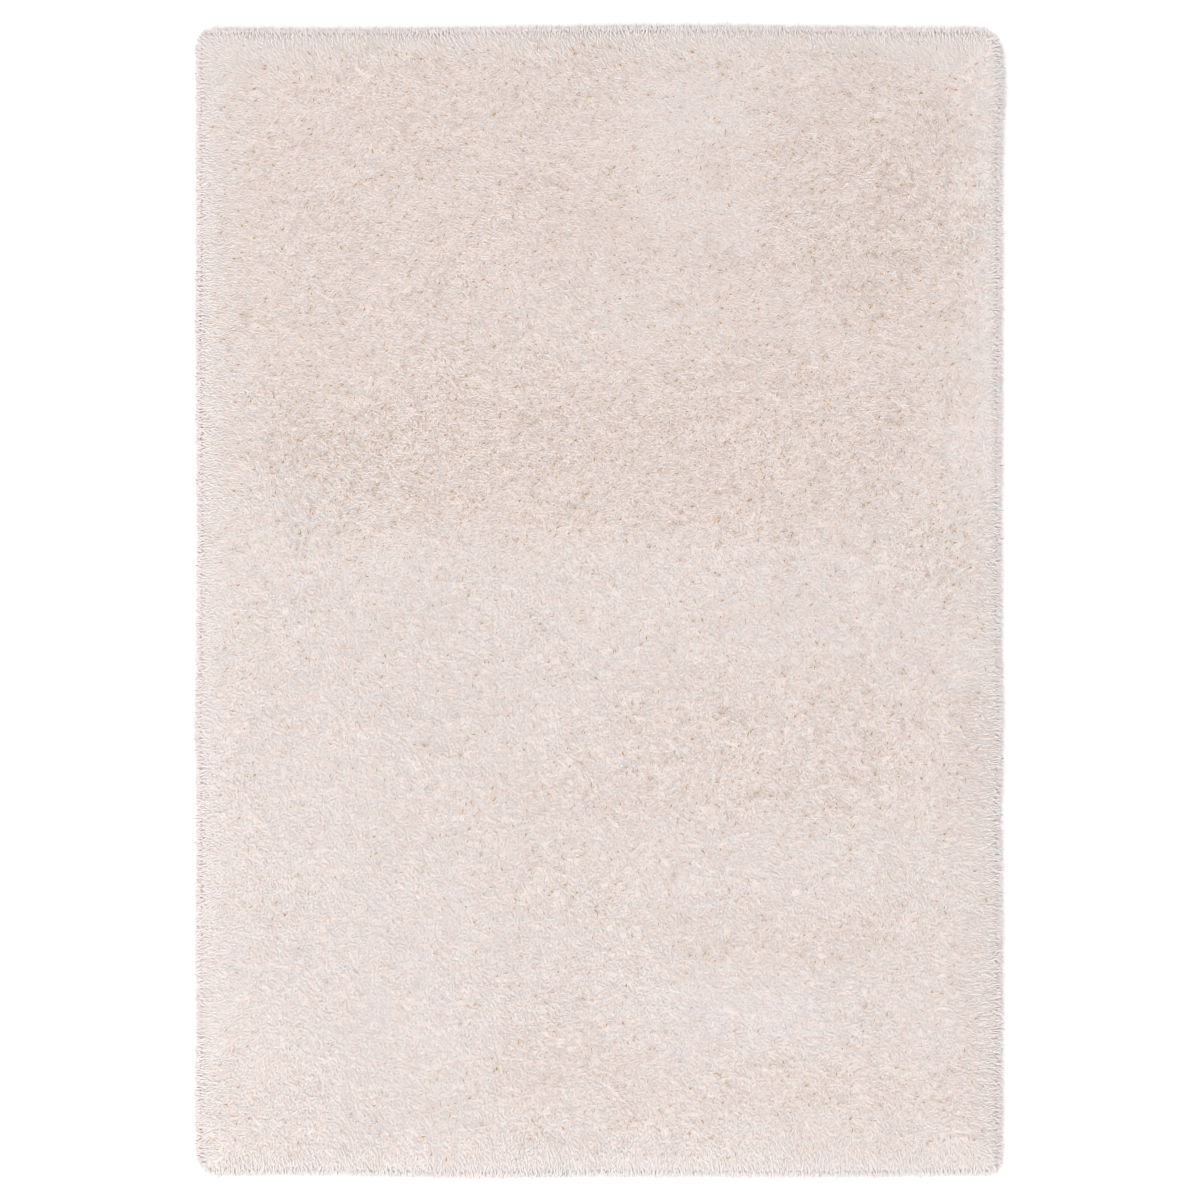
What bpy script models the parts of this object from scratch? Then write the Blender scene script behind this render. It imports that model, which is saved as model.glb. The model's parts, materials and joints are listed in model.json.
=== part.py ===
"""Shag rug: a flat, rectangular rug with a soft pile all over, as one solid.

Units are metres, +Z is up. The underside lies on z = 0 and the origin is the middle of the
footprint. +Y points to the rug's head end and +X to its right side. The solid reaches as far
as the pile does: the pile leans out past the ground cloth on every side and rounds the edge off.
"""

from collections import namedtuple
from math import exp, sqrt

import bmesh
import bpy

# Driving dimensions
GROUND_WIDTH = 1.60
GROUND_LENGTH = 2.30
PILE_OVERHANG = 0.02  # how far the pile leans out past the ground cloth
PILE_TOP = 0.034  # height of the pile above the floor
EDGE_HEIGHT = 0.011  # height at which the leaning pile reaches furthest out
EDGE_UNDERCUT = 0.005  # how far the underside stays behind the outline
SHOULDER_WIDTH = 0.065  # width of the band in which the pile falls off to the edge

# Spacing of the lines that the surface is drawn on
SHOULDER_LINES = (0.0, 0.004, 0.013, 0.028, 0.045, 0.065, 0.10)  # distances from the edge
INNER_SPACING = 0.11
EDGE_EASE = 0.15  # the edge's swells die away this far inside the rug

RUG_WIDTH = GROUND_WIDTH + 2 * PILE_OVERHANG
RUG_LENGTH = GROUND_LENGTH + 2 * PILE_OVERHANG

# Corners are rounded by the pile, each a little differently: signs of x and y, radius
Corner = namedtuple("Corner", "x_sign y_sign radius")
CORNERS = (
    Corner(-1, 1, 0.038),
    Corner(1, 1, 0.055),
    Corner(-1, -1, 0.045),
    Corner(1, -1, 0.032),
)

# Slow swells of the outline: the side, the place of the swell's middle along that side from the
# rug's middle, its half length, and how far it moves the edge outwards
EdgeSwell = namedtuple("EdgeSwell", "side middle half_length out")
EDGE_SWELLS = (
    EdgeSwell("head", -0.55, 0.30, -0.0030),
    EdgeSwell("head", 0.16, 0.28, 0.0045),
    EdgeSwell("head", 0.66, 0.12, -0.0015),
    EdgeSwell("foot", -0.62, 0.16, -0.0035),
    EdgeSwell("foot", -0.22, 0.14, 0.0035),
    EdgeSwell("foot", 0.40, 0.24, 0.0015),
    EdgeSwell("foot", 0.72, 0.10, -0.0025),
    EdgeSwell("left", 0.57, 0.05, 0.0025),
    EdgeSwell("left", 0.14, 0.14, -0.0020),
    EdgeSwell("left", -0.24, 0.06, 0.0035),
    EdgeSwell("left", -0.70, 0.05, 0.0020),
    EdgeSwell("left", -1.00, 0.07, 0.0025),
    EdgeSwell("right", 1.04, 0.08, 0.0060),
    EdgeSwell("right", 0.10, 0.30, -0.0018),
    EdgeSwell("right", -0.22, 0.07, 0.0025),
    EdgeSwell("right", -0.44, 0.05, -0.0025),
)

# Soft hollows and rises of the pile's top: middle, half sizes across and along, rise
PileSwell = namedtuple("PileSwell", "x y across along rise")
PILE_SWELLS = (
    PileSwell(0.55, 0.78, 0.26, 0.20, -0.0022),
    PileSwell(-0.20, 0.48, 0.55, 0.12, -0.0026),
    PileSwell(0.20, 0.85, 0.20, 0.16, 0.0014),
    PileSwell(-0.55, 0.85, 0.25, 0.25, -0.0012),
    PileSwell(0.35, 0.12, 0.35, 0.12, 0.0014),
    PileSwell(0.18, -0.32, 0.26, 0.14, -0.0018),
    PileSwell(-0.45, -0.15, 0.30, 0.30, 0.0010),
    PileSwell(0.45, -0.70, 0.28, 0.07, -0.0016),
    PileSwell(0.30, -0.86, 0.24, 0.08, 0.0012),
    PileSwell(-0.25, -0.95, 0.22, 0.07, -0.0014),
    PileSwell(-0.62, -0.85, 0.14, 0.25, 0.0010),
)


def swell(distance, half_length):
    """A smooth bump: 1 at its middle and near 0 at twice its half length."""
    return exp(-((distance / half_length) ** 2))


def line_places(side_length):
    """Places of the drawing lines across one side: close together in the shoulders."""
    half = side_length / 2
    low = [-half + inset for inset in SHOULDER_LINES]
    clear = side_length - 2 * SHOULDER_LINES[-1]
    count = round(clear / INNER_SPACING)
    inner = [low[-1] + clear * step / count for step in range(1, count)]
    high = [half - inset for inset in reversed(SHOULDER_LINES)]
    return low + inner + high


def corner_radius(x, y):
    """The radius of the corner in whose quarter of the rug a point lies."""
    for corner in CORNERS:
        if x * corner.x_sign >= 0 and y * corner.y_sign >= 0:
            return corner.radius
    return CORNERS[0].radius


def round_corner(x, y, half_width, half_length):
    """Draws the square corner of a rectangle in to a quarter circle."""
    radius = corner_radius(x, y)
    past_x = (abs(x) - (half_width - radius)) / radius
    past_y = (abs(y) - (half_length - radius)) / radius
    if past_x <= 0 or past_y <= 0:
        return x, y
    round_x = past_x * sqrt(1 - past_y**2 / 2)
    round_y = past_y * sqrt(1 - past_x**2 / 2)
    new_x = half_width - radius + radius * round_x
    new_y = half_length - radius + radius * round_y
    return (new_x if x > 0 else -new_x), (new_y if y > 0 else -new_y)


def edge_shift(x, y):
    """How far the outline's swells move a point, all of it at the edge and none further in."""
    shift_x = 0.0
    shift_y = 0.0
    for row in EDGE_SWELLS:
        upright = row.side in ("left", "right")
        along = y if upright else x
        sign = 1 if row.side in ("right", "head") else -1
        to_edge = (RUG_WIDTH / 2 - sign * x) if upright else (RUG_LENGTH / 2 - sign * y)
        share = max(0.0, 1 - to_edge / EDGE_EASE) ** 2
        out = sign * row.out * share * swell(along - row.middle, row.half_length)
        if upright:
            shift_x += out
        else:
            shift_y += out
    return shift_x, shift_y


def in_plan(x, y, inset):
    """A point of the drawing rectangle, moved to the rug's own outline, less an even inset."""
    half_width = RUG_WIDTH / 2
    half_length = RUG_LENGTH / 2
    shift_x, shift_y = edge_shift(x, y)
    x, y = round_corner(x, y, half_width, half_length)
    x *= (half_width - inset) / half_width
    y *= (half_length - inset) / half_length
    return x + shift_x, y + shift_y


def pile_height(x, y):
    """Height of the pile above the floor: a rounded shoulder at the edge, soft swells within."""
    to_edge = min(RUG_WIDTH / 2 - abs(x), RUG_LENGTH / 2 - abs(y))
    inward = min(1.0, to_edge / SHOULDER_WIDTH)
    shoulder = sqrt(max(0.0, 1 - (1 - inward) ** 2))
    height = EDGE_HEIGHT + (PILE_TOP - EDGE_HEIGHT) * shoulder
    for row in PILE_SWELLS:
        height += inward * row.rise * swell(x - row.x, row.across) * swell(y - row.y, row.along)
    return height


def draw_lines(bm):
    """A flat grid of the drawing lines, and each vertex's place on the drawing rectangle."""
    columns = line_places(RUG_WIDTH)
    rows = line_places(RUG_LENGTH)
    bmesh.ops.create_grid(bm, x_segments=len(columns) - 1, y_segments=len(rows) - 1, size=1.0)
    for vertex in bm.verts:
        column = round((vertex.co.x + 1) / 2 * (len(columns) - 1))
        row = round((vertex.co.y + 1) / 2 * (len(rows) - 1))
        vertex.co = (columns[column], rows[row], 0.0)


def make_rug_mesh():
    """The rug as one closed mesh: the pile's top, its rounded edge and the flat underside."""
    bm = bmesh.new()
    draw_lines(bm)
    underside = list(bm.verts)
    raised = bmesh.ops.extrude_face_region(bm, geom=list(bm.faces))["geom"]
    top = [part for part in raised if isinstance(part, bmesh.types.BMVert)]
    for vertex in top:
        x, y, _ = vertex.co
        vertex.co = (*in_plan(x, y, 0.0), pile_height(x, y))
    for vertex in underside:
        x, y, _ = vertex.co
        vertex.co = (*in_plan(x, y, EDGE_UNDERCUT), 0.0)
    bmesh.ops.recalc_face_normals(bm, faces=list(bm.faces))
    mesh = bpy.data.meshes.new("rug")
    bm.to_mesh(mesh)
    bm.free()
    return mesh


def put_origin_in_middle(mesh):
    """Moves the mesh so that the middle of its footprint is the origin."""
    across = [vertex.co.x for vertex in mesh.vertices]
    along = [vertex.co.y for vertex in mesh.vertices]
    middle_x = (min(across) + max(across)) / 2
    middle_y = (min(along) + max(along)) / 2
    for vertex in mesh.vertices:
        vertex.co.x -= middle_x
        vertex.co.y -= middle_y


def make_pile_material():
    """Warm cream pile with a faint blush, quite matt."""
    material = bpy.data.materials.new("cream_pile")
    material.use_nodes = True
    shader = material.node_tree.nodes["Principled BSDF"]
    shader.inputs["Base Color"].default_value = (0.78, 0.69, 0.65, 1.0)
    shader.inputs["Roughness"].default_value = 0.95
    shader.inputs["Metallic"].default_value = 0.0
    return material


def make_rug(collection):
    """The rug's object, shaded smooth over the pile and sharp at the underside."""
    mesh = make_rug_mesh()
    put_origin_in_middle(mesh)
    mesh.shade_smooth()
    mesh.set_sharp_from_angle(angle=0.8)
    mesh.materials.append(make_pile_material())
    rug = bpy.data.objects.new("rug", mesh)
    collection.objects.link(rug)
    return rug


def main():
    for old in list(bpy.data.objects):
        bpy.data.objects.remove(old)
    collection = bpy.data.collections.new("shag_rug")
    bpy.context.scene.collection.children.link(collection)
    make_rug(collection)


main()
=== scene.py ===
import json
import math
import random
from collections import namedtuple

import bmesh
import bpy
import numpy as np
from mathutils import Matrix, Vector, noise

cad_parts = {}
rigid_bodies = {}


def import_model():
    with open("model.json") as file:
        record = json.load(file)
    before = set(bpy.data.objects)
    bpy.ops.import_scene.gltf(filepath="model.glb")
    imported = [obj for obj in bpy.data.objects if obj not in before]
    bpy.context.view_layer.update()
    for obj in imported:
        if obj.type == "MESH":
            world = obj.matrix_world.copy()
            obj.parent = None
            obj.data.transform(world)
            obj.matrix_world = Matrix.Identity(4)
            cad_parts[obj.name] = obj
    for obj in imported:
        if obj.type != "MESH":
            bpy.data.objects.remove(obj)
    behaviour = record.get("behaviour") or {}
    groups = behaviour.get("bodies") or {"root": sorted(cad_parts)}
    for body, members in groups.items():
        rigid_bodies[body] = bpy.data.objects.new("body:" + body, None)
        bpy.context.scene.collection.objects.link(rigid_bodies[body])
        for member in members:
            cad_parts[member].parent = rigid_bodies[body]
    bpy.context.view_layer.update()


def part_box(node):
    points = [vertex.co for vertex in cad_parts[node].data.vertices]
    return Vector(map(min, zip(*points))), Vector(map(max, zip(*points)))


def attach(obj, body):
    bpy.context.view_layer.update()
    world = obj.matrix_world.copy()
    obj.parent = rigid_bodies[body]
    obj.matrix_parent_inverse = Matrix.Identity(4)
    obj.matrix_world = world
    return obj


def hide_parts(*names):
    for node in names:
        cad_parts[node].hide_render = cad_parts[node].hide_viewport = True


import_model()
rugLow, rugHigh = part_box("rug")
print("frame loaded, rug box", [round(v, 4) for v in rugHigh - rugLow])

rug = {
    "clothWidth": 1.60,
    "clothLength": 2.30,
    "overhang": 0.020,          # how far the pile leans out past the cloth
    "clothThickness": 0.003,
    "clothCell": 0.10,
    "clothRims": (0.0015, 0.05),    # two grid lines that firm up the cloth's edge
    "hemWidth": 0.016,
    "hemStep": 0.001,           # half the width of the slope down from the hem
    "hemRise": 0.0012,          # the turned hem is a second layer
    "bedReach": 0.015,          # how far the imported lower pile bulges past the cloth
    "bedTop": 0.0245,
    "bedSide": 0.0110,
    "bedShoulder": 0.045,
    "bedLift": 0.0016,          # the lower pile starts this far above the cloth
    "bedSwell": 0.0012,
    "bedSwellScale": 9,
    "bedCell": 0.025,
    "bedRims": (0.0, 0.003, 0.008, 0.016, 0.028, 0.045),
    "leastRadius": 0.012,
    "sharpAngle": 50,
}
bedWidth = rug["clothWidth"] + 2 * rug["bedReach"]
bedLength = rug["clothLength"] + 2 * rug["bedReach"]
rugWidth = rug["clothWidth"] + 2 * rug["overhang"]
rugLength = rug["clothLength"] + 2 * rug["overhang"]

# rounded corners: sign of x, sign of y, radius over the pile
Corner = namedtuple("Corner", "xSign ySign radius")
corners = [
    Corner(-1, 1, 0.038),
    Corner(1, 1, 0.055),
    Corner(-1, -1, 0.045),
    Corner(1, -1, 0.032),
]

# slow swells of the outline: side, middle along that side, half length, outward move
EdgeSwell = namedtuple("EdgeSwell", "side middle halfLength out")
edgeSwells = [
    EdgeSwell("head", -0.55, 0.30, -0.0030),
    EdgeSwell("head", 0.16, 0.28, 0.0045),
    EdgeSwell("head", 0.66, 0.12, -0.0015),
    EdgeSwell("foot", -0.62, 0.16, -0.0035),
    EdgeSwell("foot", -0.22, 0.14, 0.0035),
    EdgeSwell("foot", 0.40, 0.24, 0.0015),
    EdgeSwell("foot", 0.72, 0.10, -0.0025),
    EdgeSwell("left", 0.57, 0.05, 0.0025),
    EdgeSwell("left", 0.14, 0.14, -0.0020),
    EdgeSwell("left", -0.24, 0.06, 0.0035),
    EdgeSwell("left", -0.70, 0.05, 0.0020),
    EdgeSwell("left", -1.00, 0.07, 0.0025),
    EdgeSwell("right", 1.04, 0.08, 0.0060),
    EdgeSwell("right", 0.10, 0.30, -0.0018),
    EdgeSwell("right", -0.22, 0.07, 0.0025),
    EdgeSwell("right", -0.44, 0.05, -0.0025),
]
edgeEase = 0.15                 # the swells die away this far inside the rug


def bump(distance, half):
    return math.exp(-((distance / half) ** 2))


def roundCorner(x, y, halfWidth, halfLength, inset):
    # draws a square corner in to a quarter circle
    radius = next(c.radius for c in corners if x * c.xSign >= 0 and y * c.ySign >= 0)
    radius = max(rug["leastRadius"], radius - inset)
    pastX = (abs(x) - (halfWidth - radius)) / radius
    pastY = (abs(y) - (halfLength - radius)) / radius
    if pastX <= 0 or pastY <= 0:
        return x, y
    newX = halfWidth - radius + radius * pastX * math.sqrt(1 - pastY ** 2 / 2)
    newY = halfLength - radius + radius * pastY * math.sqrt(1 - pastX ** 2 / 2)
    return math.copysign(newX, x), math.copysign(newY, y)


def edgeShift(x, y):
    shift = Vector((0.0, 0.0))
    for row in edgeSwells:
        upright = row.side in ("left", "right")
        sign = 1 if row.side in ("right", "head") else -1
        along = y if upright else x
        toEdge = (rugWidth / 2 - sign * x) if upright else (rugLength / 2 - sign * y)
        share = min(1.0, max(0.0, 1 - toEdge / edgeEase)) ** 2
        shift[0 if upright else 1] += sign * row.out * share * bump(along - row.middle, row.halfLength)
    return shift


def linePlaces(sideLength, rims, cell):
    # grid lines over one side: the rims near each edge, then even cells
    half = sideLength / 2
    low = [-half + rim for rim in rims]
    clear = sideLength - 2 * rims[-1]
    count = round(clear / cell)
    inner = [low[-1] + clear * i / count for i in range(1, count)]
    return low + inner + [half - rim for rim in reversed(rims)]


def slabFromGrid(name, width, length, rims, cell, inset, topHeight, bottomHeight):
    # a flat closed body: a grid raised to topHeight(x, y), with the rug's outline less an inset
    columns = linePlaces(width, rims, cell)
    rows = linePlaces(length, rims, cell)
    across, along = len(columns), len(rows)
    tops = []
    for y in rows:
        for x in columns:
            flat = Vector(roundCorner(x, y, width / 2, length / 2, inset)) + edgeShift(x, y)
            tops.append((flat.x, flat.y, topHeight(x, y)))
    bottoms = [(x, y, bottomHeight) for x, y, z in tops]
    under = len(tops)
    faces = []
    for j in range(along - 1):
        for i in range(across - 1):
            a = j * across + i
            b = a + 1
            c = b + across
            d = a + across
            faces.append((a, b, c, d))
            faces.append((d + under, c + under, b + under, a + under))
    ring = list(range(across)) + [(j + 1) * across - 1 for j in range(1, along)]
    ring += [(along - 1) * across + i for i in range(across - 2, -1, -1)]
    ring += [j * across for j in range(along - 2, 0, -1)]
    for a, b in zip(ring, ring[1:] + ring[:1]):
        faces.append((a, a + under, b + under, b))
    mesh = bpy.data.meshes.new(name)
    mesh.from_pydata(tops + bottoms, [], faces)
    mesh.validate()
    mesh.shade_smooth()
    mesh.set_sharp_from_angle(angle=math.radians(rug["sharpAngle"]))
    piece = bpy.data.objects.new(name, mesh)
    bpy.context.scene.collection.objects.link(piece)
    return piece


def fromEdge(x, y, width, length):
    return min(width / 2 - abs(x), length / 2 - abs(y))


# ground cloth: a thin sheet, flat on the floor, with a turned hem on top
def hemHeight(x, y):
    inside = fromEdge(x, y, rug["clothWidth"], rug["clothLength"])
    return rug["clothThickness"] + (rug["hemRise"] if inside < rug["hemWidth"] else 0.0)


def makeGroundCloth():
    outer, inner = rug["clothRims"]
    rims = (0.0, outer, rug["hemWidth"] - rug["hemStep"], rug["hemWidth"] + rug["hemStep"], inner)
    return slabFromGrid("groundCloth", rug["clothWidth"], rug["clothLength"], rims, rug["clothCell"],
                        rug["overhang"], hemHeight, 0.0)


# lower pile: tufts packed so close that they are one soft body
def bedHeight(x, y):
    share = min(1.0, fromEdge(x, y, bedWidth, bedLength) / rug["bedShoulder"])
    shoulder = math.sqrt(1 - (1 - share) ** 2)
    swell = rug["bedSwell"] * noise.noise(Vector((x, y, 0.0)) * rug["bedSwellScale"]) * share
    return rug["bedSide"] + (rug["bedTop"] - rug["bedSide"]) * shoulder + swell


def makePileBed():
    return slabFromGrid("pileBed", bedWidth, bedLength, rug["bedRims"], rug["bedCell"],
                        rug["overhang"] - rug["bedReach"], bedHeight, rug["clothThickness"] + rug["bedLift"])


# how the pile has been brushed
nap = {
    "headLean": (-1.2, -0.15),      # which way most of the pile lies towards the head end
    "footLean": (0.12, -0.25),      # and towards the foot end
    "headFrom": 0.10,               # where along the rug the one turns into the other
    "headBlend": 0.05,
    "cornerTurn": 0.012,            # how quickly the outward direction turns around a corner
    "slowWander": 0.75,
    "wanderScale": 6.0,
    "seed": 5,
    "rimWidth": 0.022,
    "rimLean": 2.0,
    "shoulderWidth": 0.075,         # further in it turns outward little by little
    "shoulderLean": 1.5,
    "rimCool": 0.040,               # the pile looks cooler this close to the edge
    "openAll": 0.18,
    "warmAll": 0.52,
    "patchRim": 0.016,              # how softly a patch ends
    "patchRagged": 0.050,           # and how far its rim strays
    "raggedScales": (11, 32),
    "fineRagged": 0.6,
    "patchReach": 2.5,              # no patch is felt past this many of its half sizes
}

# brushed patches: middle, half sizes, how much more open and how much warmer
NapPatch = namedtuple("NapPatch", "x y across along open warm")
napPatches = [
    NapPatch(0.00, 0.68, 0.74, 0.56, 0.30, 0.42),
    NapPatch(-0.20, 0.88, 0.55, 0.20, 0.00, 0.10),
    NapPatch(0.58, 0.80, 0.22, 0.22, 0.45, 0.20),
    NapPatch(0.20, 1.01, 0.14, 0.07, -0.30, -0.55),
    NapPatch(0.22, 0.80, 0.13, 0.07, -0.25, -0.35),
    NapPatch(0.05, 0.58, 0.14, 0.06, -0.20, -0.30),
    NapPatch(0.15, 0.32, 0.52, 0.15, 0.35, 0.25),
    NapPatch(-0.48, 0.28, 0.20, 0.14, 0.50, -0.15),
    NapPatch(0.68, 0.12, 0.12, 0.10, 0.45, 0.10),
    NapPatch(0.35, -0.05, 0.38, 0.12, 0.05, 0.12),
    NapPatch(0.40, -0.30, 0.40, 0.15, 0.25, 0.30),
    NapPatch(-0.12, -0.48, 0.26, 0.14, 0.10, 0.15),
    NapPatch(0.44, -0.68, 0.24, 0.05, 0.15, 0.35),
    NapPatch(0.30, -0.84, 0.18, 0.06, -0.20, -0.35),
    NapPatch(-0.06, -0.96, 0.16, 0.06, 0.15, 0.40),
    NapPatch(0.47, -0.98, 0.28, 0.06, 0.15, 0.35),
    NapPatch(-0.50, -0.72, 0.30, 0.40, -0.10, -0.10),
]


def patchShare(row, x, y):
    # 1 inside the patch, falling to 0 over its ragged rim
    reach = ((abs(x - row.x) / row.across) ** 3 + (abs(y - row.y) / row.along) ** 3) ** (1 / 3)
    if reach > nap["patchReach"]:
        return 0.0
    coarse, fine = nap["raggedScales"]
    ragged = noise.noise(Vector((x, y, 3.0)) * coarse)
    ragged += nap["fineRagged"] * noise.noise(Vector((x, y, 5.0)) * fine)
    past = (reach - 1) * min(row.across, row.along) + nap["patchRagged"] * ragged
    return 1 / (1 + math.exp(min(30.0, past / nap["patchRim"])))    # the 30 only keeps exp in range


def brushPile(bed):
    # writes the nap onto the bed as attributes that the tufting and the yarn read
    noise.seed_set(nap["seed"])    # without it the slow wander differs from run to run
    mesh = bed.data
    count = len(mesh.vertices)
    columns = linePlaces(bedWidth, rug["bedRims"], rug["bedCell"])
    rows = linePlaces(bedLength, rug["bedRims"], rug["bedCell"])
    flatPlaces = [(x, y) for y in rows for x in columns] * 2
    lean = np.zeros((count, 3), np.float32)
    outward = np.zeros((count, 3), np.float32)
    inside = np.zeros(count, np.float32)
    openness = np.zeros(count, np.float32)
    warmth = np.zeros(count, np.float32)
    for i, (x, y) in enumerate(flatPlaces):
        toSideX = bedWidth / 2 - abs(x)
        toSideY = bedLength / 2 - abs(y)
        inside[i] = min(toSideX, toSideY)
        towardX = math.exp(-toSideX / nap["cornerTurn"])
        towardY = math.exp(-toSideY / nap["cornerTurn"])
        out = Vector((math.copysign(towardX, x), math.copysign(towardY, y))).normalized()
        outward[i, :2] = out
        rim = math.exp(-((inside[i] / nap["rimWidth"]) ** 2))
        upper = 1 / (1 + math.exp(-(y - nap["headFrom"]) / nap["headBlend"]))
        own = Vector(nap["headLean"]) * upper + Vector(nap["footLean"]) * (1 - upper)
        own += nap["slowWander"] * noise.noise_vector(Vector((x, y, 1.0)) * nap["wanderScale"]).xy
        own += out * nap["shoulderLean"] * math.exp(-((inside[i] / nap["shoulderWidth"]) ** 2))
        lean[i, :2] = own * (1 - rim) + out * nap["rimLean"] * rim
        opened = nap["openAll"] + sum(row.open * patchShare(row, x, y) for row in napPatches)
        warmed = nap["warmAll"] + sum(row.warm * patchShare(row, x, y) for row in napPatches)
        rimCool = math.exp(-((inside[i] / nap["rimCool"]) ** 2))
        openness[i] = min(1.0, max(0.0, opened)) * (1 - rim)
        warmth[i] = min(1.0, max(0.0, warmed)) * (1 - rimCool)
    normals = np.array([v.normal for v in mesh.vertices], np.float32)
    for name, values in (("lean", lean), ("outward", outward), ("bedNormal", normals)):
        mesh.attributes.new(name, "FLOAT_VECTOR", "POINT").data.foreach_set("vector", values.ravel())
    for name, values in (("inside", inside), ("open", openness), ("warm", warmth)):
        mesh.attributes.new(name, "FLOAT", "POINT").data.foreach_set("value", values)


groundCloth = makeGroundCloth()
pileBed = makePileBed()
brushPile(pileBed)
print("ground cloth and lower pile made")

# one strand of yarn: a closed sliver, thick at its belly and bent over there
strand = {
    "kinds": 12,
    "length": 0.0138,
    "lengthSpread": (0.80, 1.15),
    "width": 0.0022,
    "widthSpread": (0.75, 1.25),
    "bellyAt": 0.48,
    "bellySpread": 0.08,
    "arch": 0.13,               # rise of the belly over the line from root to tip
    "archSpread": (0.6, 1.4),
    "sideBend": 0.10,
    "sizeSpread": (0.85, 1.12),
    "rimLongFrom": 0.3,         # they are longest over this outer share of the rim's width
    "rimLongest": 1.3,          # how many times longer the strands may be at the rim
    "rimFill": (0.4, 1.0),      # how much of the room to the outline they take up
    "roomMargin": 1.05,         # reckons a strand a little longer than it is, to stay inside
    "leastOutward": 0.05,       # a strand that hardly points outward has all the room it wants
    "pastOutline": 0.010,       # only their thin tips pass the outline
    "levelOut": 3.0,            # over the steep shoulder strands stay nearer to level than the bed does
    "rimHang": -1.5,            # the lowest strands hang down over the cloth's edge
    "hangBand": (0.0045, 0.0075),   # heights between which they stop hanging
    "hangSpread": (0.3, 1.0),
    "droop": -1.2,              # turns the hollow side of the bend down
    "distance": 0.00300,        # least distance between two roots
    "edgeDistance": 0.00190,
    "edgeBand": 0.012,          # the dense rim is rooted this close to the lower pile's edge
    "rise": (0.30, 0.50),       # how steeply it leaves the bed where the pile lies close, and where open
    "riseSpread": (0.6, 1.4),
    "localWander": 0.5,
    "localScale": 38.0,
    "ownWander": 1.2,
    "normalOwn": (0.30, 0.48),  # share of a strand's own normal at the rim and inside
    "rimShadeWidth": 0.035,
    "rimShade": (0.2, 0.2, 1.0),    # the rest comes from the bed, with its slope flattened
    "leastUpright": 0.7,        # so that the rim never shades as a wall does
    "seed": 7,
}

# shade slits: small partings painted as shade, short dark ochre strands that stand for the shade down
# between the others and the warmer foot of the pile
slit = {
    "share": 0.105,             # of the strands, where the pile stands quite open
    "strength": (0.35, 1.0),
    "lengthwise": 0.50,
    "crosswise": 1.20,
    "bulk": (0.8, 1.6),
    "clumpScale": 90.0,
    "clumpBand": (0.40, 0.60),
    "lift": 0.0050,
}


def makeStrandKinds():
    draw = random.Random(strand["seed"])
    kinds = bpy.data.collections.new("strandKinds")
    for k in range(strand["kinds"]):
        length = strand["length"] * draw.uniform(*strand["lengthSpread"])
        half = strand["width"] / 2 * draw.uniform(*strand["widthSpread"])
        bend = strand["sideBend"] * length * draw.uniform(-1, 1)
        arch = strand["arch"] * length * draw.uniform(*strand["archSpread"])
        stray = draw.uniform(-strand["bellySpread"], strand["bellySpread"])
        belly = length * (strand["bellyAt"] + stray)
        bm = bmesh.new()
        along = bm.verts.layers.float.new("along")
        places = ((0, 0, 0), (-arch, bend - half, belly), (-arch, bend + half, belly), (0, 0, length))
        root, left, right, tip = [bm.verts.new(place) for place in places]
        for v, share in ((root, 0.0), (left, 0.5), (right, 0.5), (tip, 1.0)):
            v[along] = share
        for face in ((root, left, right), (left, tip, right), (root, right, tip), (root, tip, left)):
            bm.faces.new(face)
        bmesh.ops.recalc_face_normals(bm, faces=list(bm.faces))
        mesh = bpy.data.meshes.new(f"strandKind{k}")
        bm.to_mesh(mesh)
        bm.free()
        mesh.shade_smooth()
        kinds.objects.link(bpy.data.objects.new(f"strandKind{k}", mesh))
    return kinds


def put(tree, kind, values=None, **settings):
    # adds a node, sets its properties, and sets or links its inputs
    node = tree.nodes.new(kind)
    for name, value in settings.items():
        setattr(node, name, value)
    for key, value in (values or {}).items():
        if isinstance(value, bpy.types.NodeSocket):
            tree.links.new(value, node.inputs[key])
        else:
            node.inputs[key].default_value = value
    return node


def math1(tree, operation, a, b=0.0):
    return put(tree, "ShaderNodeMath", {0: a, 1: b}, operation=operation).outputs[0]


def math3(tree, operation, a, b=(0.0, 0.0, 0.0)):
    node = put(tree, "ShaderNodeVectorMath", {0: a, 1: b}, operation=operation)
    return node.outputs["Value" if operation == "DOT_PRODUCT" else "Vector"]


def scaled(tree, vector, factor):
    return put(tree, "ShaderNodeVectorMath", {0: vector, "Scale": factor}, operation="SCALE").outputs[0]


def ramped(tree, value, low, high, toLow, toHigh):
    return put(tree, "ShaderNodeMapRange", {0: value, 1: low, 2: high, 3: toLow, 4: toHigh}).outputs[0]


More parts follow.
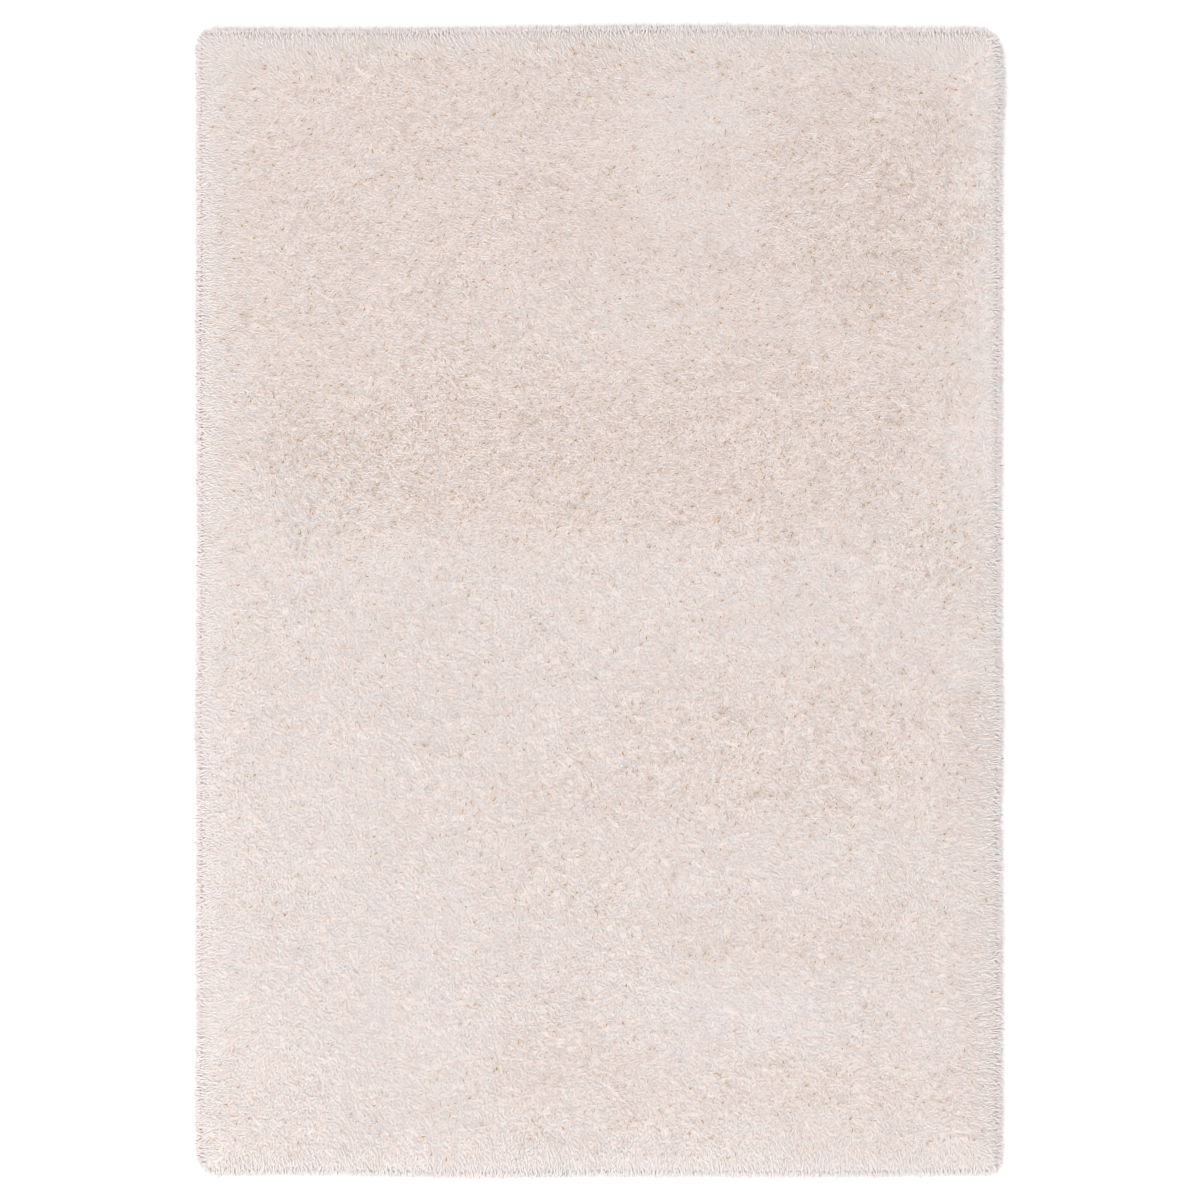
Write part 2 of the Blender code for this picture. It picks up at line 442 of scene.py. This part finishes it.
def buildPileTree():
    tree = bpy.data.node_groups.new("tuftedPile", "GeometryNodeTree")
    face = tree.interface
    face.new_socket("Geometry", in_out="INPUT", socket_type="NodeSocketGeometry")
    for name, kind in (("Strand Kinds", "NodeSocketCollection"), ("Yarn", "NodeSocketMaterial"),
                       ("Strand Distance", "NodeSocketFloat"), ("Density", "NodeSocketFloat"),
                       ("Least Up", "NodeSocketFloat"), ("From", "NodeSocketFloat"),
                       ("To", "NodeSocketFloat"), ("Edge Band", "NodeSocketFloat"),
                       ("Floor Gap", "NodeSocketFloat"), ("Seed", "NodeSocketInt")):
        face.new_socket(name, in_out="INPUT", socket_type=kind)
    face.new_socket("Geometry", in_out="OUTPUT", socket_type="NodeSocketGeometry")
    given = tree.nodes.new("NodeGroupInput").outputs

    def field(name, kind="FLOAT"):
        node = put(tree, "GeometryNodeInputNamedAttribute", {"Name": name}, data_type=kind)
        return node.outputs["Attribute"]

    def draw(low, high, seed):    # every draw has a seed of its own
        node = put(tree, "FunctionNodeRandomValue", {"Seed": seed}, data_type="FLOAT")
        node.inputs[2].default_value = low
        node.inputs[3].default_value = high
        return node.outputs[1]

    # roots over the bed's upper faces, between From and To along the rug and within the edge band
    inside = field("inside")
    place = put(tree, "GeometryNodeInputPosition").outputs[0]
    placeParts = put(tree, "ShaderNodeSeparateXYZ", {0: place}).outputs
    placeY = placeParts[1]
    placeZ = placeParts[2]
    normal = put(tree, "GeometryNodeInputNormal").outputs[0]
    up = put(tree, "ShaderNodeSeparateXYZ", {0: normal}).outputs[2]
    wanted = math1(tree, "GREATER_THAN", up, given["Least Up"])
    wanted = math1(tree, "MULTIPLY", wanted, math1(tree, "GREATER_THAN", placeY, given["From"]))
    wanted = math1(tree, "MULTIPLY", wanted, math1(tree, "LESS_THAN", placeY, given["To"]))
    wanted = math1(tree, "MULTIPLY", wanted, math1(tree, "LESS_THAN", inside, given["Edge Band"]))
    rooted = put(tree, "GeometryNodeSeparateGeometry", {"Geometry": given["Geometry"], "Selection": wanted},
                 domain="FACE").outputs[0]
    roots = put(tree, "GeometryNodeDistributePointsOnFaces",
                {"Mesh": rooted, "Distance Min": given["Strand Distance"], "Density Max": given["Density"],
                 "Seed": given["Seed"]}, distribute_method="POISSON").outputs["Points"]

    # direction: brushed lean, local wander and each strand's own, laid along the bed and raised a little
    opened = field("open")
    surface = field("bedNormal", "FLOAT_VECTOR")
    local = put(tree, "ShaderNodeTexNoise",
                {"Vector": place, "Scale": strand["localScale"], "Detail": 1.0}).outputs["Color"]
    local = math3(tree, "SUBTRACT", local, (0.5, 0.5, 0.5))
    localReach = 3 * strand["localWander"]
    wander = math3(tree, "MULTIPLY", local, (localReach, localReach, 0.0))
    reach = strand["ownWander"]
    own = put(tree, "ShaderNodeCombineXYZ",
              {0: draw(-reach, reach, 1), 1: draw(-reach, reach, 2)}).outputs[0]
    flat = math3(tree, "ADD", math3(tree, "ADD", field("lean", "FLOAT_VECTOR"), wander), own)
    flat = math3(tree, "NORMALIZE", flat)
    surface = math3(tree, "NORMALIZE", math3(tree, "ADD", surface, (0.0, 0.0, strand["levelOut"])))
    sunk = scaled(tree, surface, math3(tree, "DOT_PRODUCT", flat, surface))
    flat = math3(tree, "NORMALIZE", math3(tree, "SUBTRACT", flat, sunk))
    rise = ramped(tree, opened, 0.0, 1.0, *strand["rise"])
    rise = math1(tree, "MULTIPLY", rise, draw(*strand["riseSpread"], 3))
    stem = math3(tree, "NORMALIZE", math3(tree, "ADD", flat, scaled(tree, surface, rise)))
    hang = ramped(tree, placeZ, *strand["hangBand"], strand["rimHang"], 0.0)
    hang = math1(tree, "MULTIPLY", hang, draw(*strand["hangSpread"], 13))
    hang = scaled(tree, (0.0, 0.0, 1.0), hang)
    stem = math3(tree, "NORMALIZE", math3(tree, "ADD", stem, hang))
    droop = math3(tree, "ADD", flat, (0.0, 0.0, strand["droop"]))
    turned = put(tree, "FunctionNodeAlignRotationToVector", {"Vector": stem}, axis="Z").outputs[0]
    turned = put(tree, "FunctionNodeAlignRotationToVector", {"Rotation": turned, "Vector": droop},
                 axis="X", pivot_axis="Z").outputs[0]

    # no strand reaches past the rug's outline
    outward = math3(tree, "DOT_PRODUCT", stem, field("outward", "FLOAT_VECTOR"))
    outward = math1(tree, "MAXIMUM", outward, strand["leastOutward"])
    room = math1(tree, "ADD", inside, rug["overhang"] - rug["bedReach"] + strand["pastOutline"])
    wholeLength = strand["length"] * strand["roomMargin"]
    limit = math1(tree, "DIVIDE", room, math1(tree, "MULTIPLY", outward, wholeLength))
    fill = math1(tree, "MULTIPLY", limit, draw(*strand["rimFill"], 6))
    longest = ramped(tree, inside, strand["rimLongFrom"] * nap["rimWidth"], nap["rimWidth"],
                     strand["rimLongest"], 1.0)
    size = math1(tree, "MULTIPLY", draw(*strand["sizeSpread"], 4), longest)
    size = math1(tree, "MINIMUM", size, fill)

    # shade slits: short broad strands in clumps, where the pile stands open, coloured dark as painted shade
    # and lifted so that they show
    clumps = put(tree, "ShaderNodeTexNoise",
                 {"Vector": place, "Scale": slit["clumpScale"], "Detail": 1.0}).outputs[0]
    offRim = ramped(tree, inside, nap["rimWidth"], 2 * nap["rimWidth"], 0.0, 1.0)
    opened = math1(tree, "MULTIPLY", opened, offRim)
    clumped = ramped(tree, clumps, *slit["clumpBand"], 0.0, 2 * slit["share"])
    chance = math1(tree, "MULTIPLY", opened, clumped)
    dark = math1(tree, "LESS_THAN", draw(0.0, 1.0, 9), chance)
    strength = math1(tree, "MULTIPLY", dark, draw(*slit["strength"], 12))
    bulk = draw(*slit["bulk"], 14)
    lengthwise = ramped(tree, dark, 0.0, 1.0, 1.0, math1(tree, "MULTIPLY", bulk, slit["lengthwise"]))
    crosswise = ramped(tree, dark, 0.0, 1.0, 1.0, math1(tree, "MULTIPLY", bulk, slit["crosswise"]))
    crosswise = math1(tree, "DIVIDE", crosswise, math1(tree, "MAXIMUM", size, 1.0))
    scale = put(tree, "ShaderNodeCombineXYZ", {0: math1(tree, "MULTIPLY", size, lengthwise),
                                               1: math1(tree, "MULTIPLY", size, crosswise),
                                               2: math1(tree, "MULTIPLY", size, lengthwise)}).outputs[0]
    lift = scaled(tree, surface, math1(tree, "MULTIPLY", dark, slit["lift"]))

    planted = roots
    for name, value in (("tone", draw(0.0, 1.0, 5)), ("slit", strength)):
        planted = put(tree, "GeometryNodeStoreNamedAttribute",
                      {"Geometry": planted, "Name": name, "Value": value}, domain="POINT").outputs[0]
    planted = put(tree, "GeometryNodeSetPosition", {"Geometry": planted, "Offset": lift}).outputs[0]
    kinds = put(tree, "GeometryNodeCollectionInfo",
                {"Collection": given["Strand Kinds"], "Separate Children": True})
    pick = put(tree, "FunctionNodeRandomValue", {"Seed": 8}, data_type="INT")
    pick.inputs[4].default_value = 0
    pick.inputs[5].default_value = strand["kinds"] - 1
    strands = put(tree, "GeometryNodeInstanceOnPoints",
                  {"Points": planted, "Instance": kinds.outputs[0], "Pick Instance": True,
                   "Instance Index": pick.outputs[2], "Rotation": turned, "Scale": scale}).outputs[0]
    strands = put(tree, "GeometryNodeRealizeInstances", {"Geometry": strands}).outputs[0]

    # nothing sinks into the floor
    at = put(tree, "ShaderNodeSeparateXYZ", {0: put(tree, "GeometryNodeInputPosition").outputs[0]}).outputs
    height = math1(tree, "MAXIMUM", at[2], given["Floor Gap"])
    raised = put(tree, "ShaderNodeCombineXYZ", {0: at[0], 1: at[1], 2: height}).outputs[0]
    strands = put(tree, "GeometryNodeSetPosition", {"Geometry": strands, "Position": raised}).outputs[0]
    strands = put(tree, "GeometryNodeSetMaterial", {"Geometry": strands, "Material": given["Yarn"]})
    put(tree, "NodeGroupOutput", {0: strands.outputs[0]})
    return tree


def leanNormals(mesh):
    # light passes through thin strands, so they shade mostly as the pile around them does
    own = np.zeros(len(mesh.vertices) * 3, np.float32)
    mesh.vertices.foreach_get("normal", own)
    pileNormal = readAttribute(mesh, "bedNormal", "vector", 3).reshape(-1, 3) * strand["rimShade"]
    pileNormal[:, 2] = np.maximum(pileNormal[:, 2], strand["leastUpright"])
    inside = readAttribute(mesh, "inside", "value", 1).reshape(-1, 1)
    share = np.interp(inside, (0.0, strand["rimShadeWidth"]), strand["normalOwn"])
    leaned = own.reshape(-1, 3) * share + pileNormal * (1 - share)
    leaned /= np.linalg.norm(leaned, axis=1, keepdims=True) + 1e-9
    mesh.normals_split_custom_set_from_vertices(leaned.tolist())


def readAttribute(mesh, name, kind, size):
    values = np.zeros(len(mesh.vertices) * size, np.float32)
    mesh.attributes[name].data.foreach_get(kind, values)
    return values


def growPile(name, bed, tree, settings):
    # runs the tree on a copy of the bed and keeps the result as a plain mesh
    source = bpy.data.objects.new(name + "Source", bed.data.copy())
    bpy.context.scene.collection.objects.link(source)
    modifier = source.modifiers.new("strands", "NODES")
    modifier.node_group = tree
    for item in tree.interface.items_tree:
        if item.in_out == "INPUT" and item.name in settings:
            modifier[item.identifier] = settings[item.name]
    shapes = bpy.context.evaluated_depsgraph_get()
    mesh = bpy.data.meshes.new_from_object(source.evaluated_get(shapes), preserve_all_data_layers=True,
                                           depsgraph=shapes)
    source.modifiers.remove(modifier)
    bpy.data.objects.remove(source)
    mesh.name = name
    leanNormals(mesh)
    for spare in ("lean", "outward", "bedNormal"):
        mesh.attributes.remove(mesh.attributes[spare])
    piece = bpy.data.objects.new(name, mesh)
    bpy.context.scene.collection.objects.link(piece)
    print(name, len(mesh.polygons), "faces")
    return piece


def newMaterial(name):
    material = bpy.data.materials.new(name)
    material.use_nodes = True
    tree = material.node_tree
    return material, tree, tree.nodes["Principled BSDF"]


yarn = {
    # painted shade: the dark ochre of a shaded parting, warmed by the pile's foot
    "slit": (0.53, 0.32, 0.13, 1),
    # painted shade: the root colour stands in for the shade deep in the pile
    "root": (0.92, 0.815, 0.76, 1),
    "blush": (0.95, 0.84, 0.80, 1),
    "cool": (0.92, 0.862, 0.842, 1),
    "toneSpread": (0.055, 0.210),   # strand to strand, where the pile lies close and where it stands open
    "toneTop": 0.55,                # how much of that goes to the light side
    "darkSaturation": 1.45,         # the darker ones are a little richer in colour
    "rimBand": (0.020, 0.070),
    "rimPaintedLight": 1.03,               # painted light: the yarn is lightened near the edge, where fewer fold shadows fall
    "rootReach": 0.4,               # the painted depth shade of the root fades out this far along a strand
    "openFull": 0.6,                # from this openness on the spread is full
    "mottle": 0.6,
    "mottleScale": 38.0,
    "roughness": 0.85,
    "specular": 0.2,
    "sheen": 0.15,
    "sheenRoughness": 0.5,
}


def mixed(tree, factor, a, b):
    return put(tree, "ShaderNodeMix", {0: factor, 6: a, 7: b}, data_type="RGBA").outputs[2]


def reading(tree, name):
    return put(tree, "ShaderNodeAttribute", attribute_name=name).outputs["Fac"]


def blushColour(tree, place):
    # warm and cool patches a few millimetres to a few centimetres wide, over the brushed ones
    patches = put(tree, "ShaderNodeTexNoise", {"Vector": place, "Scale": yarn["mottleScale"], "Detail": 3.0,
                                              "Roughness": 0.6}).outputs[0]
    patches = ramped(tree, patches, 0.35, 0.65, -yarn["mottle"], yarn["mottle"])
    share = math1(tree, "ADD", reading(tree, "warm"), patches)
    return mixed(tree, share, yarn["cool"], yarn["blush"])


def yarnMaterial():
    material, tree, shader = newMaterial("pileYarn")
    place = put(tree, "ShaderNodeTexCoord").outputs["Object"]
    tip = blushColour(tree, place)
    # painted shade: each strand darkens towards its root, as the depth of the pile would shade it
    fromRoot = ramped(tree, reading(tree, "along"), 0.0, yarn["rootReach"], 0.0, 1.0)
    colour = mixed(tree, fromRoot, yarn["root"], tip)
    spread = ramped(tree, reading(tree, "open"), 0.0, yarn["openFull"], *yarn["toneSpread"])
    tone = ramped(tree, reading(tree, "tone"), 0.0, 1.0, -1.0, yarn["toneTop"])
    # each strand's tone, plus painted light that lightens the yarn near the edge
    value = math1(tree, "ADD", math1(tree, "MULTIPLY", tone, spread),
                  ramped(tree, reading(tree, "inside"), *yarn["rimBand"], yarn["rimPaintedLight"], 1.0))
    depth = ramped(tree, value, 0.8, 1.0, yarn["darkSaturation"], 1.0)
    colour = put(tree, "ShaderNodeHueSaturation", {"Saturation": depth, "Value": value, "Color": colour})
    colour = colour.outputs[0]
    # painted shade: the shade slit strands take this dark ochre colour
    colour = mixed(tree, reading(tree, "slit"), colour, yarn["slit"])
    tree.links.new(colour, shader.inputs["Base Color"])
    shader.inputs["Roughness"].default_value = yarn["roughness"]
    shader.inputs["Specular IOR Level"].default_value = yarn["specular"]
    shader.inputs["Sheen Weight"].default_value = yarn["sheen"]
    shader.inputs["Sheen Roughness"].default_value = yarn["sheenRoughness"]
    return material


lowerPile = {
    "fibreScale": 420.0,
    "bump": 0.4,
    "bumpDepth": 0.001,
    "roughness": 0.95,
}


def bedMaterial():
    material, tree, shader = newMaterial("lowerPile")
    place = put(tree, "ShaderNodeTexCoord").outputs["Object"]
    fibres = put(tree, "ShaderNodeTexNoise",
                 {"Vector": place, "Scale": lowerPile["fibreScale"], "Detail": 2.0}).outputs[0]
    # fibre noise mixes the root colour, painted depth shade, with the blush
    colour = mixed(tree, ramped(tree, fibres, 0.35, 0.65, 0.0, 1.0), yarn["root"], blushColour(tree, place))
    tree.links.new(colour, shader.inputs["Base Color"])
    bumped = put(tree, "ShaderNodeBump", {"Strength": lowerPile["bump"], "Distance": lowerPile["bumpDepth"],
                                          "Height": fibres}).outputs[0]
    tree.links.new(bumped, shader.inputs["Normal"])
    shader.inputs["Roughness"].default_value = lowerPile["roughness"]
    shader.inputs["Specular IOR Level"].default_value = yarn["specular"]
    return material


cloth = {
    "thread": (0.66, 0.58, 0.48, 1),
    "gap": (0.47, 0.39, 0.30, 1),
    "latex": (0.76, 0.70, 0.61, 1),
    "weaveScale": 140.0,        # about 2.2 mm from thread to thread
    "weaveStray": 0.4,
    "latexScale": 26.0,
    "latexBand": (0.38, 0.62),
    "latexCover": (0.15, 0.75), # how much the coat hides of the weave, at its thinnest and thickest
    "bump": 0.5,
    "bumpDepth": 0.0006,
    "roughness": 0.85,
}


def clothMaterial():
    # plain weave under a thin coat of latex that lies unevenly
    material, tree, shader = newMaterial("backingCloth")
    place = put(tree, "ShaderNodeTexCoord").outputs["Object"]
    wave = {"Vector": place, "Scale": cloth["weaveScale"], "Distortion": cloth["weaveStray"], "Detail": 1.0}
    warp = put(tree, "ShaderNodeTexWave", wave, bands_direction="X").outputs["Fac"]
    weft = put(tree, "ShaderNodeTexWave", wave, bands_direction="Y").outputs["Fac"]
    weave = math1(tree, "MULTIPLY", warp, weft)
    coat = put(tree, "ShaderNodeTexNoise",
               {"Vector": place, "Scale": cloth["latexScale"], "Detail": 4.0}).outputs[0]
    colour = mixed(tree, ramped(tree, weave, 0.1, 0.6, 0.0, 1.0), cloth["gap"], cloth["thread"])
    cover = ramped(tree, coat, *cloth["latexBand"], *cloth["latexCover"])
    colour = mixed(tree, cover, colour, cloth["latex"])
    tree.links.new(colour, shader.inputs["Base Color"])
    bumped = put(tree, "ShaderNodeBump", {"Strength": cloth["bump"], "Distance": cloth["bumpDepth"],
                                          "Height": weave}).outputs[0]
    tree.links.new(bumped, shader.inputs["Normal"])
    shader.inputs["Roughness"].default_value = cloth["roughness"]
    return material


pileTree = buildPileTree()
strandKinds = makeStrandKinds()
pileYarn = yarnMaterial()
pileBed.data.materials.append(bedMaterial())
groundCloth.data.materials.append(clothMaterial())

# the dense rim all round, then the pile in bands from foot to head, so that no piece gets too heavy
tufting = {
    "bands": 5,
    "densest": 300000.0,        # tries per square metre, thinned to the least distance
    "edgeDensest": 600000.0,
    "leastUp": 0.02,            # the bands root on faces that look up
    "edgeLeastUp": -0.5,        # and the rim on the sides too
    "wayOut": 2.0,              # further off than the rug reaches
    "floorGap": 0.0006,
    "edgeSeed": 23,
    "seed": 11,
}
wayOut = tufting["wayOut"]
bandEdges = [rugLength * (i / tufting["bands"] - 0.5) for i in range(1, tufting["bands"])]
bandEdges = [-wayOut] + bandEdges + [wayOut]
shared = {"Strand Kinds": strandKinds, "Yarn": pileYarn, "Floor Gap": tufting["floorGap"]}
pilePieces = [growPile("pileEdge", pileBed, pileTree, {
    **shared, "Strand Distance": strand["edgeDistance"], "Density": tufting["edgeDensest"],
    "Least Up": tufting["edgeLeastUp"], "Edge Band": strand["edgeBand"], "From": -wayOut, "To": wayOut,
    "Seed": tufting["edgeSeed"]})]
for i in range(tufting["bands"]):
    pilePieces.append(growPile(f"pileBand{i + 1}", pileBed, pileTree, {
        **shared, "Strand Distance": strand["distance"], "Density": tufting["densest"],
        "Least Up": tufting["leastUp"], "Edge Band": wayOut, "From": bandEdges[i], "To": bandEdges[i + 1],
        "Seed": tufting["seed"]}))
print("pile made,", sum(len(p.data.polygons) for p in pilePieces), "faces")

for kind in list(strandKinds.objects):
    bpy.data.objects.remove(kind)
bpy.data.collections.remove(strandKinds)

for piece in [groundCloth, pileBed] + pilePieces:
    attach(piece, "root")
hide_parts("rug")

# studio: pale floor, soft light, camera straight above
studio = {
    "floorSize": 60.0,
    "floorBelow": 0.0005,       # keeps the cloth's underside off it
    "floorColour": (0.92, 0.92, 0.92, 1),
    "floorGlow": 0.3,
    "floorRoughness": 0.9,
    "skyStrength": 0.97,
    "keyPlace": (-6.6, -9.4, 12.0),
    "keySize": 3.6,
    "keyPower": 880.0,
    "frameWidth": 2.4396,       # what the camera takes in at the pile's height
    "lens": 100.0,
    "aside": (0.0017, 0.0043),  # the camera stands this far from the middle
    "farthest": 100.0,
    "filterWidth": 1.1,
}


def makeFloor():
    bpy.ops.mesh.primitive_plane_add(size=studio["floorSize"], location=(0, 0, -studio["floorBelow"]))
    floor = bpy.context.object
    floor.name = "floor"
    material, _, shader = newMaterial("paleFloor")
    shader.inputs["Base Color"].default_value = studio["floorColour"]
    shader.inputs["Emission Color"].default_value = (1, 1, 1, 1)
    shader.inputs["Emission Strength"].default_value = studio["floorGlow"]
    shader.inputs["Roughness"].default_value = studio["floorRoughness"]
    floor.data.materials.append(material)


def addLight(name, place, size, power):
    light = bpy.data.lights.new(name, "AREA")
    light.shape = "DISK"
    light.size = size
    light.energy = power
    lamp = bpy.data.objects.new(name, light)
    lamp.location = place
    lamp.rotation_euler = (-Vector(place)).to_track_quat("-Z", "Y").to_euler()
    bpy.context.scene.collection.objects.link(lamp)


def makeStudio():
    makeFloor()
    world = bpy.data.worlds.new("studio")
    bpy.context.scene.world = world
    world.use_nodes = True
    sky = world.node_tree.nodes["Background"]
    sky.inputs["Color"].default_value = (1, 1, 1, 1)
    sky.inputs["Strength"].default_value = studio["skyStrength"]
    addLight("keyLight", studio["keyPlace"], studio["keySize"], studio["keyPower"])
    camera = bpy.data.objects.new("camera", bpy.data.cameras.new("camera"))
    camera.data.lens = studio["lens"]
    height = studio["frameWidth"] * studio["lens"] / camera.data.sensor_width
    camera.location = (*studio["aside"], height + rugHigh.z)
    camera.data.clip_end = studio["farthest"]
    bpy.context.scene.collection.objects.link(camera)
    bpy.context.scene.camera = camera
    bpy.context.scene.view_settings.view_transform = "Standard"
    bpy.context.scene.cycles.filter_width = studio["filterWidth"]


makeStudio()
